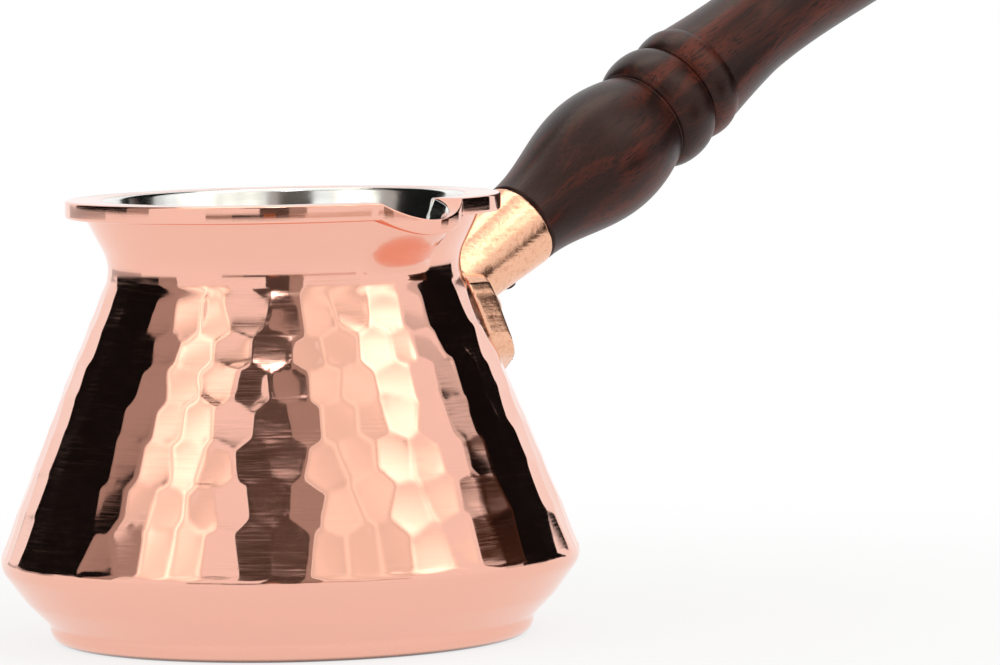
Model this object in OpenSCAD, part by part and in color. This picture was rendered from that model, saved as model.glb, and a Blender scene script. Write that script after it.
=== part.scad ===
// Small long-handled coffee pot in hammered copper.
// The shell is spun and planished, with a flat thickened rim and a pouring lip pressed into it.
// It is wiped with tin inside. A cast bracket is riveted to the wall, and a turned wooden handle
// is pinned into the bracket's socket.
// Millimetres. The base stands on z = 0 around the Z axis, the handle points to +X and the lip to -Y.

/* [Pot] */
// Height of the pot, up to the top of its rim
pot_h = 74; // [72:0.5:80]
// Thickness of the copper
wall_t = 1.8; // [1.2:0.1:2.4]
// Radius of the foot
foot_r = 40.6; // [39.6:0.1:41.4]
// Height of the foot, up to the crease under the bowl
foot_h = 3.2; // [2.8:0.1:3.8]
// Rounding of the foot's lower corner
foot_round = 2.6; // [1.5:0.1:2.7]
// Radius of the bowl's knee, above the foot
knee_r = 44.4; // [43.6:0.1:45.2]
// Height of the bowl's knee
knee_z = 7; // [6.4:0.1:7.6]
// Rounding of the knee
knee_round = 8; // [4:0.5:10]
// Radius of the belly's corner before it is rounded
belly_r = 49; // [46:0.2:54]
// Height of the belly's corner
belly_z = 13.2; // [11:0.2:16]
// Rounding of the belly's corner
belly_round = 3.5; // [2.5:0.25:5]
// How far the hammered wall bows out between belly and neck
wall_bow = 0.45; // [0:0.05:1]
// Radius of the neck's corner before it is rounded
neck_r = 28.8; // [27:0.2:31]
// Height of the neck's corner
neck_z = 62.6; // [60:0.2:64]
// Rounding of the neck
neck_round = 7.5; // [5:0.5:10]

/* [Rim] */
// Outer radius of the rim
rim_r = 36.5; // [36:0.1:40]
// Thickness of the rim's flat edge
rim_t = 2.75; // [2:0.05:3.2]
// How much the rim's edge leans in towards its lower corner
rim_taper = 0.2; // [0:0.1:0.8]
// Rounding of the rim's two outer corners
rim_round = 0.5; // [0.3:0.1:0.8]
// Outer radius of the flare where it meets the underside of the rim
flare_r = 33.2; // [32.4:0.1:34.2]
// Rounding between the flare and the underside of the rim
rim_root = 0.9; // [0.5:0.1:2]
// Radius of the mouth
mouth_r = 30.3; // [29.4:0.1:31.4]
// Rounding of the mouth's inner edge
mouth_round = 1; // [0.6:0.1:1.6]

/* [Pouring lip] */
// Direction of the lip, seen from above, with the handle at 0 degrees
lip_az = -90; // [-100:5:-80]
// Half of the angle that the lip takes up on the rim
lip_half = 14; // [12:1:22]
// How far the lip is pushed out
lip_out = 2.6; // [1:0.1:3.4]
// Share of the rim's width that the lip takes away as its inner edge is pushed out further
lip_pinch = 0.45; // [0:0.05:0.6]
// How far the lip dips below the rim
lip_drop = 3; // [1:0.1:4.5]
// Height at which the lip's channel starts on the neck
lip_root_z = 61; // [58:0.5:64]

/* [Hammering] */
// Number of hammer marks around the wall
marks = 44; // [36:2:50]
// Number of rows of hammer marks
mark_rows = 7; // [6:1:10]
// Depth of a mark below the flat between its corners
mark_depth = 0.1; // [0:0.02:0.2]
// Height of the lower edge of the hammered band
hammer_lo = 16.2; // [16:0.2:19]
// Height of the upper edge of the hammered band
hammer_hi = 59; // [54:0.5:60]

/* [Tin lining] */
// Thickness of the tin coat
tin_t = 0.2; // [0.1:0.05:0.4]

/* [Bracket] */
// Height at which the handle's axis would meet the pot's axis
axis_z = 36.2; // [34:0.2:38]
// Rise of the handle above the horizontal, in degrees
handle_rise = 29.7; // [26:0.1:34]
// Outer radius of the socket at its mouth
socket_r = 7.75; // [7.2:0.05:9]
// Outer radius of the socket where it is narrowest, near the plate
socket_waist_r = 6.75; // [6.5:0.05:7.8]
// Distance from the socket's mouth to where it is narrowest
socket_fall = 14; // [10:0.5:16]
// Radius of the socket's bore
bore_r = 5.6; // [5:0.1:5.8]
// Distance along the handle's axis from the pot's axis to the mouth of the socket
socket_end = 61.2; // [56:0.2:66]
// Depth of the socket's bore
bore_depth = 20; // [16:0.5:21]
// Rounding of the socket's mouth
socket_round = 0.5; // [0.2:0.1:0.7]
// Half of the width of the mounting plate
plate_half_w = 18.5; // [16:0.5:20]
// Thickness of the mounting plate
plate_t = 4; // [3:0.1:4.4]
// Height of the plate's upper edge
plate_hi = 59.6; // [58:0.2:60]
// Height of the plate's lower corners
plate_shoulder_z = 46.6; // [44:0.2:48]
// Height of the plate's lower point before it is rounded
plate_lo = 38; // [36:0.2:40]
// Gap between the plate and the wall
plate_gap = 0.2; // [0.1:0.05:0.3]

/* [Rivets] */
// Radius of a rivet's shank
rivet_r = 1.6; // [1.2:0.1:2]
// Radius of a rivet's head
rivet_head_r = 3; // [2.6:0.1:3.2]
// Height of a rivet's domed head
rivet_head_h = 1.5; // [1:0.1:2]
// Height of a rivet's flat inner head
rivet_inner_h = 1; // [0.6:0.1:1.4]
// Angle of the side rivets from the handle, in degrees
rivet_az = 20.5; // [19.5:0.5:22]
// Height of the side rivets
rivet_side_z = 52.6; // [51:0.2:54]
// Height of the lower rivet
rivet_low_z = 43.9; // [43:0.1:44.6]
// Clearance around a rivet's shank and around the pin
hole_clear = 0.05; // [0.03:0.01:0.15]

/* [Handle] */
// Length of the handle that shows beyond the socket
handle_len = 139.8; // [120:1:160]
// Clearance around the handle's tenon in the socket
tenon_clear = 0.1; // [0.05:0.05:0.2]
// Radius of the handle's shoulder at the socket
shoulder_r = 7.6; // [7:0.05:7.7]
// Distance from the socket to the middle of the bulb
bulb_at = 22.8; // [20:0.2:28]
// Radius of the bulb
bulb_r = 11.4; // [9:0.1:13]
// Distance from the socket to the first groove
groove_at = 34.1; // [30:0.1:38]
// Radius at the bottom of both grooves
groove_r = 9.1; // [7.5:0.1:10]
// Width of the bead between the grooves
bead_w = 8.7; // [6:0.1:11]
// Radius of the bead between the grooves
bead_r = 10.9; // [10.1:0.1:12]
// Radius of the collar beyond the second groove
collar_r = 10.5; // [10:0.1:12]
// Distance from the second groove to the top of the collar
collar_w = 3.7; // [3:0.1:5]
// Distance from the collar's top to the crease where it ends
collar_fall = 2.3; // [1:0.1:3]
// Length from the crease to the narrow waist
waist_w = 15; // [12:0.5:20]
// Radius of the waist
waist_r = 8.45; // [7:0.05:9.5]
// Length from the waist to the fullest part of the grip
grip_w = 46; // [30:1:52]
// Radius of the grip at its fullest
grip_r = 12; // [10:0.1:13.5]

/* [Pin] */
// Radius of the pin's shank
pin_r = 0.8; // [0.6:0.1:1]
// Length of the pin below its head
pin_len = 6; // [5:0.5:7]
// Radius of the pin's head
pin_head_r = 1.2; // [1.1:0.1:2.4]
// Height of the pin's domed head
pin_head_h = 0.4; // [0.3:0.1:1]
// How far the pin's head stands clear of the socket
pin_stand = 0.5; // [0:0.1:0.8]
// Distance of the pin from the mouth of the socket
pin_at = 7.4; // [4:0.2:10]

/* [Hidden] */
$fn = 64;

copper = [0.93, 0.66, 0.55];
tin = [0.86, 0.86, 0.84];
cast_copper = [0.88, 0.58, 0.4];
walnut = [0.24, 0.12, 0.09];
steel = [0.25, 0.23, 0.22];

// Every ring of the shell has two points for each hammer mark: its middle and its edge.
ring_n = 2 * marks;
ring_step = 360 / ring_n;
// The points of the rings near the lip are drawn together by this share, over this angle.
lip_draw = 0.45;
lip_draw_angle = 32;
rim_under = pot_h - rim_t;

tenon_r = bore_r - tenon_clear;
// Distance from the handle's axis to the underside of the pin's head
pin_seat = socket_r - (socket_r - socket_waist_r) * pin_at / socket_fall + pin_stand;
// The tenon stops short of the bottom of the bore.
tenon_short = 0.3;
rivets_at = [[rivet_az, rivet_side_z], [-rivet_az, rivet_side_z], [0, rivet_low_z]];

// ---- Plane geometry -------------------------------------------------------------------

function unit(v) = v / norm(v);
function mix(a, b, t) = a + (b - a) * t;
function smooth(t) = let (u = max(0, min(1, t))) u * u * (3 - 2 * u);
function swell(a, b, t) = mix(a, b, (1 - cos(180 * t)) / 2);
function xy(p) = [p.x, p.y];

// Points on the arc of radius r that rounds corner b between a and c, in n steps
function corner_arc(a, b, c, r, n) =
    let (u = unit(a - b),
         v = unit(c - b),
         half = acos(u * v) / 2,
         centre = b + unit(u + v) * r / sin(half),
         from = b + u * r / tan(half) - centre,
         to = b + v * r / tan(half) - centre,
         start = atan2(from.y, from.x),
         sweep = atan2(from.x * to.y - from.y * to.x, from * to))
    [for (i = [0:n]) centre + r * [cos(start + sweep * i / n), sin(start + sweep * i / n)]];

// A path through corners [x, y, rounding, steps]. Corners without a rounding stay sharp.
function rounded_path(c) =
    [for (i = [0:len(c) - 1])
        each len(c[i]) == 2
            ? [xy(c[i])]
            : corner_arc(xy(c[i - 1]), xy(c[i]), xy(c[i + 1]), c[i][2], c[i][3])];

// A closed outline through corners [x, y, rounding, steps]
function rounded_loop(c) =
    let (n = len(c))
    [for (i = [0:n - 1])
        each corner_arc(xy(c[(i + n - 1) % n]), xy(c[i]), xy(c[(i + 1) % n]), c[i][2], c[i][3])];

// The corner at b of a path a-b-c moved to its left by d
function offset_corner(a, b, c, d) =
    let (u = unit(b - a),
         v = unit(c - b),
         m = unit([-u.y - v.y, u.x + v.x]))
    b + m * d / (m * [-u.y, u.x]);

// A smooth path moved to its left by d
function offset_path(p, d) =
    [for (i = [0:len(p) - 1])
        let (t = unit(p[min(i + 1, len(p) - 1)] - p[max(i - 1, 0)]))
        p[i] + d * [-t.y, t.x]];

// ---- Profile of the shell, as [radius, height] ----------------------------------------

knee_corner = [knee_r, knee_z];
belly_corner = [belly_r, belly_z];
neck_corner = [neck_r, neck_z];
flare_corner = [flare_r, rim_under];

function bow(p) =
    let (t = (p.y - belly_z) / (neck_z - belly_z))
    t <= 0 || t >= 1 ? p : p + [4 * wall_bow * t * (1 - t), 0];

outer_wall = [for (p = rounded_path([
        [0, 0],
        [foot_r, 0, foot_round, 3],
        [foot_r, foot_h],
        [each knee_corner, knee_round, 1],
        [each belly_corner, belly_round, 3],
        [each neck_corner, neck_round, 6],
        [each flare_corner, rim_root, 3],
        [rim_r - rim_taper, rim_under]])) bow(p)];

rim_edge = rounded_path([
    flare_corner,
    [rim_r - rim_taper, rim_under, rim_round, 2],
    [rim_r, pot_h, rim_round, 2],
    [mouth_r, pot_h]]);

// The inner wall follows the outer one, a wall's thickness inside it, up to the mouth. It
// passes over the foot: there it follows the line from the knee to the foot's crease.
bowl_slope = (knee_r - foot_r) / (knee_z - foot_h);
base_corner = [foot_r - foot_h * bowl_slope, 0];
base_round = 4;
inner_base = offset_corner([0, 0], base_corner, knee_corner, wall_t);
inner_knee = offset_corner(base_corner, knee_corner, belly_corner, wall_t);
inner_belly = offset_corner(knee_corner, belly_corner, neck_corner, wall_t);
inner_neck = offset_corner(belly_corner, neck_corner, flare_corner, wall_t);

mouth_steps = 2;
inner_path = rounded_path([
    [rim_r, pot_h],
    [mouth_r, pot_h, mouth_round, mouth_steps],
    [each inner_neck, neck_round + wall_t, 4],
    [each inner_belly, belly_round - wall_t / 2, 2],
    inner_knee,
    [each inner_base, base_round, 2],
    [0, wall_t]]);
// Without its end points: the rim has the first, and the floor is one flat face.
inner_wall = [for (i = [1:len(inner_path) - 2]) bow(inner_path[i])];

wall_table = [for (p = outer_wall) if (p.x > 1) [p.y, p.x]];
function wall_r(z) = lookup(z, wall_table);
// Rise of the wall's outward normal at height z, in degrees
function wall_rise(z) = atan2(wall_r(z - 1) - wall_r(z + 1), 2);

// ---- Rings of the shell ---------------------------------------------------------------

function turn_from_lip(a) = (a - lip_az + 540) % 360 - 180;
function lip_share(a) =
    let (t = abs(turn_from_lip(a)) / lip_half)
    t < 1 ? 1 - t * t : 0;
function lip_rise(z) = smooth((z - lip_root_z) / (pot_h - lip_root_z));
function drawn_angle(a, z) =
    let (d = turn_from_lip(a), k = lip_draw * lip_rise(z) * exp(-pow(d / lip_draw_angle, 2)))
    a - d * k;

// The point of the shell at [radius, height] p and direction a, with the lip pressed in
function shell_point(p, a) =
    let (b = drawn_angle(a, p.y),
         k = lip_share(b) * lip_rise(p.y),
         r = p.x + k * (lip_out + lip_pinch * (rim_r - p.x)))
    [r * cos(b), r * sin(b), p.y - lip_drop * k];

function shell_ring(p) = [for (i = [0:ring_n - 1]) shell_point(p, i * ring_step)];

// Height of the line below a row of hammer marks. The rows are as much closer together
// towards the neck as the marks are narrower there.
row_shrink = wall_r(hammer_hi) / wall_r(hammer_lo);
function row_z(row) =
    let (t = (1 - pow(row_shrink, row / mark_rows)) / (1 - row_shrink))
    mix(hammer_lo, hammer_hi, t);
// The tips of a mark stand this far above and below the line between two rows.
function mark_tip(row) = (row_z(row + 0.5) - row_z(row - 0.5)) / 6;

// A ring between two rows of hammer marks, which zigzags around their tips
function mark_ring(row) =
    [for (i = [0:ring_n - 1])
        let (side = (i + row) % 2 == 0 ? -1 : 1,
             z = row_z(row) + side * mark_tip(row))
        shell_point([wall_r(z), z], i * ring_step)];

// The middle of each hammer mark in a row, sunk below the flat between its corners
function mark_middles(row) =
    let (z = row_z(row + 0.5),
         r = wall_r(z) * cos(ring_step) - mark_depth)
    [for (m = [0:marks - 1]) shell_point([r, z], (2 * m + row % 2) * ring_step)];

// Two triangles for each step between rings j and j + 1
function band_faces(j) =
    [for (i = [0:ring_n - 1])
        let (k = (i + 1) % ring_n,
             a = j * ring_n + i,
             b = j * ring_n + k,
             c = (j + 1) * ring_n + k,
             d = (j + 1) * ring_n + i)
        each [[a, c, b], [a, d, c]]];

// Six triangles for each hammer mark between rings j and j + 1, around its middle
function mark_faces(j, row, first_middle) =
    [for (m = [0:marks - 1])
        let (i = 2 * m + row % 2,
             lo = j * ring_n,
             hi = lo + ring_n,
             l = (i + ring_n - 1) % ring_n,
             r = (i + 1) % ring_n,
             loop = [lo + l, lo + i % ring_n, lo + r, hi + r, hi + i % ring_n, hi + l],
             mid = first_middle + row * marks + m)
        each [for (s = [0:5]) [loop[(s + 1) % 6], loop[s], mid]]];

// Smooth rings of the outer wall keep this far from the tips of the marks.
mark_margin = 0.2;
marks_bottom = hammer_lo - mark_tip(0) - mark_margin;
marks_top = hammer_hi + mark_tip(mark_rows) + mark_margin;
below_marks = [for (p = outer_wall) if (p.x > 1 && p.y < marks_bottom) p];
above_marks = [for (p = outer_wall) if (p.y > marks_top && p.x < rim_r - rim_taper) p];
rim_points = [for (i = [1:len(rim_edge) - 2]) rim_edge[i]];

// ---- Sub-parts ------------------------------------------------------------------------

module pot_shell() {
    top_points = concat(above_marks, rim_points, inner_wall);
    rings = concat(
        [for (p = below_marks) shell_ring(p)],
        [for (row = [0:mark_rows]) mark_ring(row)],
        [for (p = top_points) shell_ring(p)]);
    middles = [for (row = [0:mark_rows - 1]) each mark_middles(row)];
    first_row = len(below_marks);
    first_middle = len(rings) * ring_n;
    last = (len(rings) - 1) * ring_n;
    faces = concat(
        [[for (i = [0:ring_n - 1]) i]],
        [for (j = [0:len(rings) - 2])
            each j >= first_row && j < first_row + mark_rows
                ? mark_faces(j, j - first_row, first_middle)
                : band_faces(j)],
        [[for (i = [ring_n - 1:-1:0]) last + i]]);
    polyhedron(points = concat([for (ring = rings) each ring], middles), faces = faces);
}

module pot_body() color(copper) difference() {
    pot_shell();
    rivet_holes();
}

// The coat is a closed skin between the inner wall, from the mouth's rounded edge down,
// and a path a coat's thickness inside it.
module tin_skin() {
    back = [for (i = [mouth_steps:len(inner_wall) - 1]) inner_wall[i]];
    n = len(back);
    face = offset_path(concat(back, [[0, wall_t]]), -tin_t);
    front = [for (i = [n - 1:-1:0]) face[i]];
    rings = [for (p = concat(back, front)) shell_ring(p)];
    last = (2 * n - 1) * ring_n;
    polyhedron(
        points = [for (ring = rings) each ring],
        faces = concat(
            [for (j = [0:n - 2]) each band_faces(j)],
            [for (j = [n:2 * n - 2]) each band_faces(j)],
            [[for (i = [ring_n - 1:-1:0]) (n - 1) * ring_n + i]],
            [[for (i = [0:ring_n - 1]) n * ring_n + i]],
            [for (i = [0:ring_n - 1])
                let (k = (i + 1) % ring_n)
                each [[last + i, k, last + k], [last + i, i, k]]]));
}

module tin_lining() color(tin) difference() {
    tin_skin();
    rivet_holes();
}

// Moves its children from the handle's own axis to its place on the pot.
module on_handle_axis(at) {
    translate([0, 0, axis_z])
        rotate([0, 90 - handle_rise, 0])
            translate([0, 0, at])
                children();
}

// Moves its children to a rivet's place, with +Z along the outward normal of the wall.
module at_rivet(place) {
    z = place[1];
    rotate([0, 0, place[0]])
        translate([wall_r(z), 0, z])
            rotate([0, 90 - wall_rise(z), 0])
                children();
}

module rivet_holes() {
    reach = plate_gap + plate_t + wall_t + 2;
    for (place = rivets_at)
        at_rivet(place)
            translate([0, 0, -reach])
                cylinder(r = rivet_r + hole_clear, h = 2 * reach);
}

// Solid of revolution that the pot's wall takes up near the bracket, grown by d
module wall_solid(d) {
    z_lo = plate_lo - 6;
    z_hi = neck_z + 5;
    steps = 24;
    near = [for (i = [0:steps]) let (z = mix(z_lo, z_hi, i / steps)) [wall_r(z), z]];
    side = offset_path(near, -d);
    rotate_extrude($fn = 128)
        polygon(concat([[0, side[0].y]], side, [[0, side[steps].y]]));
}

module plate_outline() {
    polygon(rounded_loop([
        [plate_half_w, plate_hi, 4, 4],
        [-plate_half_w, plate_hi, 4, 4],
        [-plate_half_w, plate_shoulder_z, 5, 4],
        [0, plate_lo, 7, 6],
        [plate_half_w, plate_shoulder_z, 5, 4]]));
}

module socket_tube() {
    on_handle_axis(0)
        rotate_extrude()
            polygon(rounded_path([
                [0, 0],
                [0, socket_end],
                [socket_r, socket_end, socket_round, 3],
                [socket_waist_r, socket_end - socket_fall],
                [socket_waist_r, 0]]));
}

module bracket() color(cast_copper) difference() {
    union() {
        intersection() {
            wall_solid(plate_gap + plate_t);
            rotate([90, 0, 90])
                linear_extrude(height = belly_r + 10)
                    plate_outline();
        }
        socket_tube();
    }
    wall_solid(plate_gap);
    translate([0, 0, -1])
        cylinder(r = neck_r - wall_t, h = pot_h);
    on_handle_axis(socket_end - bore_depth)
        cylinder(r = bore_r, h = bore_depth + 1);
    on_handle_axis(socket_end - pin_at)
        rotate([0, 90, 0])
            cylinder(r = pin_r + hole_clear, h = socket_r + 1);
    rivet_holes();
}

module domed_head(r, h, steps) {
    ball = (r * r + h * h) / (2 * h);
    half = asin(r / ball);
    rotate_extrude()
        polygon(concat([[0, 0]], [for (i = [0:steps])
            let (a = half * (1 - i / steps))
            [ball * sin(a), ball * cos(a) - ball + h]]));
}

module rivet(place) {
    // The flat inner head bridges the hollow curve of the wall, so its rim touches the tin.
    hollow = pow(rivet_head_r, 2) / (2 * (wall_r(place[1]) - wall_t - tin_t));
    inner = wall_t + tin_t + hollow;
    outer = plate_gap + plate_t;
    at_rivet(place) {
        translate([0, 0, -inner - rivet_inner_h])
            cylinder(r = rivet_head_r, h = rivet_inner_h);
        translate([0, 0, -inner])
            cylinder(r = rivet_r, h = inner + outer);
        translate([0, 0, outer])
            domed_head(rivet_head_r, rivet_head_h, 6);
    }
}

module rivets() color(copper) {
    for (place = rivets_at) rivet(place);
}

module socket_pin() color(steel) {
    on_handle_axis(socket_end - pin_at)
        rotate([0, 90, 0])
            translate([0, 0, pin_seat]) {
                translate([0, 0, -pin_len])
                    cylinder(r = pin_r, h = pin_len);
                domed_head(pin_head_r, pin_head_h, 4);
            }
}

// ---- Profile of the handle, as [radius, distance from the socket's mouth] --------------

second_groove = groove_at + bead_w;
collar_top = second_groove + collar_w;
crease_at = collar_top + collar_fall;
// The collar has come down this far at its crease.
collar_dip = 0.2;
waist_at = crease_at + waist_w;
grip_at = waist_at + grip_w;

function handle_profile() = concat(
    [[0, tenon_short - bore_depth], [tenon_r, tenon_short - bore_depth], [tenon_r, 0]],
    // Bulb: it swells from the shoulder and falls away to the first groove
    [for (t = [0:0.1:1]) [swell(shoulder_r, bulb_r, t), bulb_at * t]],
    [for (t = [0.125:0.125:1])
        [mix(groove_r, bulb_r, 1 - t * t), mix(bulb_at, groove_at, t)]],
    // Bead: half an ellipse between the grooves
    [for (a = [160:-20:20])
        [groove_r + (bead_r - groove_r) * sin(a), groove_at + bead_w * (1 + cos(a)) / 2]],
    // Collar: an ellipse from the groove, over its top and down to the crease
    [for (a = [0:22.5:90])
        [groove_r + (collar_r - groove_r) * sin(a), collar_top - collar_w * cos(a)]],
    [for (t = [0.5, 1]) [collar_r - collar_dip * t * t, collar_top + collar_fall * t]],
    [for (t = [0.1:0.1:1])
        [mix(waist_r, collar_r - collar_dip, pow(1 - t, 1.8)), mix(crease_at, waist_at, t)]],
    // Grip: it swells again, and its end is rounded
    [for (t = [0.1:0.1:1]) [swell(waist_r, grip_r, t), mix(waist_at, grip_at, t)]],
    [for (t = [0.1:0.1:0.8])
        [grip_r * sqrt(1 - pow(t, 3)), mix(grip_at, handle_len, t)]],
    [for (t = [0.88, 0.94, 0.98])
        [grip_r * sqrt(1 - pow(t, 3)), mix(grip_at, handle_len, t)]],
    [[0, handle_len]]);

module handle() color(walnut) difference() {
    on_handle_axis(socket_end)
        rotate_extrude()
            polygon(handle_profile());
    on_handle_axis(socket_end - pin_at)
        rotate([0, 90, 0])
            translate([0, 0, pin_seat - pin_len - hole_clear])
                cylinder(r = pin_r + hole_clear / 2, h = pin_len);
}

pot_body();
tin_lining();
bracket();
rivets();
socket_pin();
handle();
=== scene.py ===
"""Dresses the hammered copper coffee pot: its shapes, its finishes and a small studio.

Sizes are written in millimetres, as the maker would give them, and turned to metres where a
mesh or a node takes them. The pot stands on z = 0 around the Z axis. Its handle points to +X
and its pouring lip to -Y.
"""

import logging
import math
from dataclasses import dataclass
from enum import Enum
from typing import Any, Sequence

import bmesh
import bpy
import numpy as np
from mathutils import Matrix

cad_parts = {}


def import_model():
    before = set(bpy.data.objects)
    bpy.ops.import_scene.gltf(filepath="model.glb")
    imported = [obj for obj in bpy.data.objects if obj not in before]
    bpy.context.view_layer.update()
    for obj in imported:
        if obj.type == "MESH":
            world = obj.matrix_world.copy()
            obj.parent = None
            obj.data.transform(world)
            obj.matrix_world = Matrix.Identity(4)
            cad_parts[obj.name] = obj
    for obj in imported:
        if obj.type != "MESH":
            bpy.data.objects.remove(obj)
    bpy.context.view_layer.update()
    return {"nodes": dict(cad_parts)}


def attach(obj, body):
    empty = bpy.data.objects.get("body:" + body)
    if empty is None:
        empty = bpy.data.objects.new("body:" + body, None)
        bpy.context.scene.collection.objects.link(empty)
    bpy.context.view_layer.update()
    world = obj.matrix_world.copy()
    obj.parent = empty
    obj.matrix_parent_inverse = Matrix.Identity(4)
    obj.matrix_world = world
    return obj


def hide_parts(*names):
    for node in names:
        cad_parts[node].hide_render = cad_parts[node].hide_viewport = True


LOG = logging.getLogger("coffee_pot")
MM = 0.001
BODY = "root"
MERGE_MM = 0.0005

Rgba = tuple[float, float, float, float]
Span = tuple[float, float]
Piece = bpy.types.Object
Socket = bpy.types.NodeSocket
Material = bpy.types.Material


# ---- Node helpers ----


def srgb(code: str) -> Rgba:
    """Turns an sRGB hex colour into the linear colour that a shader takes.

    Args:
        code: Six hex digits, with or without a leading hash.

    Returns:
        Linear red, green, blue and an alpha of 1.
    """
    digits = code.lstrip("#")
    values = [int(digits[i : i + 2], 16) / 255 for i in (0, 2, 4)]
    linear = [v / 12.92 if v <= 0.04045 else ((v + 0.055) / 1.055) ** 2.4 for v in values]
    return (linear[0], linear[1], linear[2], 1.0)


class Ease(Enum):
    """How a mapped value leaves and reaches the ends of its range."""

    STRAIGHT = "LINEAR"
    SOFT = "SMOOTHSTEP"


class Graph:
    """A node tree, with short ways to add its nodes."""

    def __init__(self, tree: bpy.types.NodeTree) -> None:
        """Works on a tree."""
        self.tree = tree

    def add(self, kind: str, settings: dict[str, Any] | None = None,
            inputs: dict[Any, Any] | None = None) -> bpy.types.Node:
        """Adds one node, with its settings and links.

        Args:
            kind: The node's type name.
            settings: Attributes to set on the node.
            inputs: Input name or index to a value, or to the output socket that feeds it.

        Returns:
            The new node.
        """
        node = self.tree.nodes.new(kind)
        for name, value in (settings or {}).items():
            setattr(node, name, value)
        for key, value in (inputs or {}).items():
            socket = node.inputs[key]
            if isinstance(value, Socket):
                self.tree.links.new(value, socket)
            else:
                socket.default_value = value
        return node

    def maths(self, operation: str, *values: Any) -> Socket:
        """Adds one maths step and returns its result."""
        node = self.add("ShaderNodeMath", {"operation": operation}, dict(enumerate(values)))
        return node.outputs[0]

    def vector(self, operation: str, *values: Any) -> bpy.types.Node:
        """Adds one vector step."""
        settings = {"operation": operation}
        return self.add("ShaderNodeVectorMath", settings, dict(enumerate(values)))

    def remap(self, value: Socket, span: Sequence[Any] = (0.0, 1.0),
              onto: Sequence[Any] = (0.0, 1.0), ease: Ease = Ease.STRAIGHT) -> Socket:
        """Maps one range of values onto another, and holds them at its ends.

        Args:
            value: The value that is mapped.
            span: Both ends of its range.
            onto: What the two ends are mapped to.
            ease: How the result leaves and reaches them.

        Returns:
            The mapped value.
        """
        node = self.add("ShaderNodeMapRange", {"interpolation_type": ease.value}, {
            "Value": value, "From Min": span[0], "From Max": span[1], "To Min": onto[0],
            "To Max": onto[1]})
        return node.outputs[0]

    def noise(self, repeats: Sequence[float], detail: float, roughness: float = 0.5,
              distortion: float = 0.0, turn: Sequence[float] = (0.0, 0.0, 0.0)) -> Socket:
        """Adds noise that stays with the piece.

        Args:
            repeats: Repeats per metre, along each turned axis.
            detail: Number of finer layers.
            roughness: Weight of the finer layers.
            distortion: How far the pattern is bent.
            turn: Turn about X, Y and Z, in radians.

        Returns:
            The noise, about 0.5 on average.
        """
        place = self.add("ShaderNodeTexCoord").outputs["Object"]
        turned = self.add("ShaderNodeMapping", inputs={"Vector": place, "Rotation": turn})
        scaled = self.add("ShaderNodeMapping",
                          inputs={"Vector": turned.outputs[0], "Scale": repeats})
        node = self.add("ShaderNodeTexNoise", inputs={
            "Vector": scaled.outputs[0], "Scale": 1.0, "Detail": detail,
            "Roughness": roughness, "Distortion": distortion})
        return node.outputs[0]

    def bump(self, height: Socket, depth_mm: float, strength: float = 1.0) -> Socket:
        """Tilts the light's normal as a relief of this depth would."""
        node = self.add("ShaderNodeBump", inputs={
            "Height": height, "Strength": strength, "Distance": depth_mm * MM})
        return node.outputs[0]

    def mix(self, share: Socket, first: Any, second: Any) -> Socket:
        """Mixes two colours, from the first at 0 to the second at 1."""
        inputs = {"Factor": share, 6: first, 7: second}
        return self.add("ShaderNodeMix", {"data_type": "RGBA"}, inputs).outputs[2]

    def ramp(self, factor: Socket, stops: Sequence[tuple[float, str]]) -> Socket:
        """Adds a colour ramp.

        Args:
            factor: The value that is looked up.
            stops: Position and hex colour of each stop, in rising order.

        Returns:
            The ramp's colour.
        """
        node = self.add("ShaderNodeValToRGB", inputs={"Fac": factor})
        elements = node.color_ramp.elements
        for element, (position, colour) in zip(elements, (stops[0], stops[-1])):
            element.position = position
            element.color = srgb(colour)
        for position, colour in stops[1:-1]:
            elements.new(position).color = srgb(colour)
        return node.outputs["Color"]

    def close(self, output: str, shader: bpy.types.Node) -> None:
        """Adds the output node and links a shader to it."""
        self.add(output, inputs={"Surface": shader.outputs[0]})


def new_material(name: str) -> tuple[Material, Graph]:
    """Makes an empty material.

    Args:
        name: Name of the material, after what it is made of.

    Returns:
        The material and its empty tree.
    """
    material = bpy.data.materials.new(name)
    material.use_nodes = True
    material.node_tree.nodes.clear()
    return material, Graph(material.node_tree)


# ---- Finishes ----


@dataclass(frozen=True)
class Finish:
    """A real material, and how it takes the light. `noise_span` is where most noise lies."""

    name: str
    noise_span: Span = (0.3, 0.7)

    def build(self) -> Material:
        """Makes the material."""
        material, graph = new_material(self.name)
        shader = graph.add("ShaderNodeBsdfPrincipled", inputs=self.surface(graph))
        graph.close("ShaderNodeOutputMaterial", shader)
        return material

    def surface(self, graph: Graph) -> dict[Any, Any]:
        """Adds what feeds the surface shader, and returns its inputs."""
        raise NotImplementedError


@dataclass(frozen=True)
class Copper(Finish):
    """Copper or a copper alloy, with painted shade darkening its narrow gaps and corners."""

    # Colour of the painted shade in gaps and corners.
    painted_gap_shade: str = "#3A1710"
    gap_mm: float = 1.2
    gap_rays: int = 6
    gap_span: Span = (0.12, 0.6)

    def with_painted_gap_shade(self, graph: Graph, clean: Any) -> Socket:
        """Paints shade into a colour in gaps and corners.

        Args:
            graph: The shader's tree.
            clean: The colour, or the output socket that gives it.

        Returns:
            The colour with its painted shade.
        """
        # Painted shade: ambient occlusion darkens the base colour in gaps and corners, such as
        # the rim's root and under the bracket.
        gap = graph.add("ShaderNodeAmbientOcclusion", {"samples": self.gap_rays},
                        {"Distance": self.gap_mm * MM})
        share = graph.remap(gap.outputs["AO"], self.gap_span, ease=Ease.SOFT)
        return graph.mix(share, srgb(self.painted_gap_shade), clean)


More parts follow.
